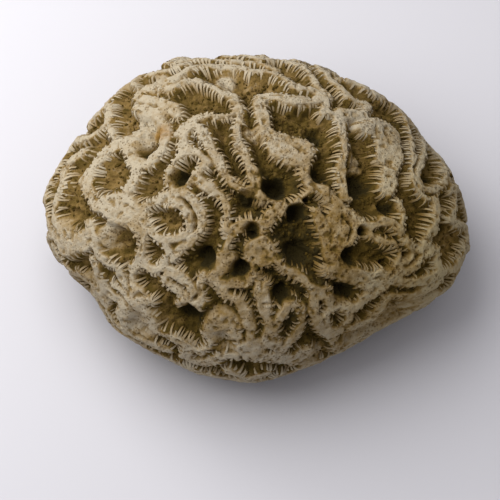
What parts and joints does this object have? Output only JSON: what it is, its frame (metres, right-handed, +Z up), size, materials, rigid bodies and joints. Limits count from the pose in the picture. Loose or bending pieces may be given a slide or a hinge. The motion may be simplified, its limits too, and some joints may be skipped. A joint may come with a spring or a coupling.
{
  "type": "brain coral",
  "caption": "Worn brain coral skeleton: a low dome of winding ridges and comb-lined valleys, cut flat underneath to rest on a surface.",
  "frame": {"origin": "middle of the length and width on the flat cut that the coral rests on", "axes": "+X along the coral's length, +Z up out of the cut, -Y towards the side that turns under most"},
  "size_m": [0.0854, 0.0696, 0.041],
  "materials": {
    "coral": "matt, porous and chalky, cream on the worn crests and brown in the valleys"
  },
  "bodies": {
    "root": {"brain_coral": "coral"}
  },
  "joints": []
}
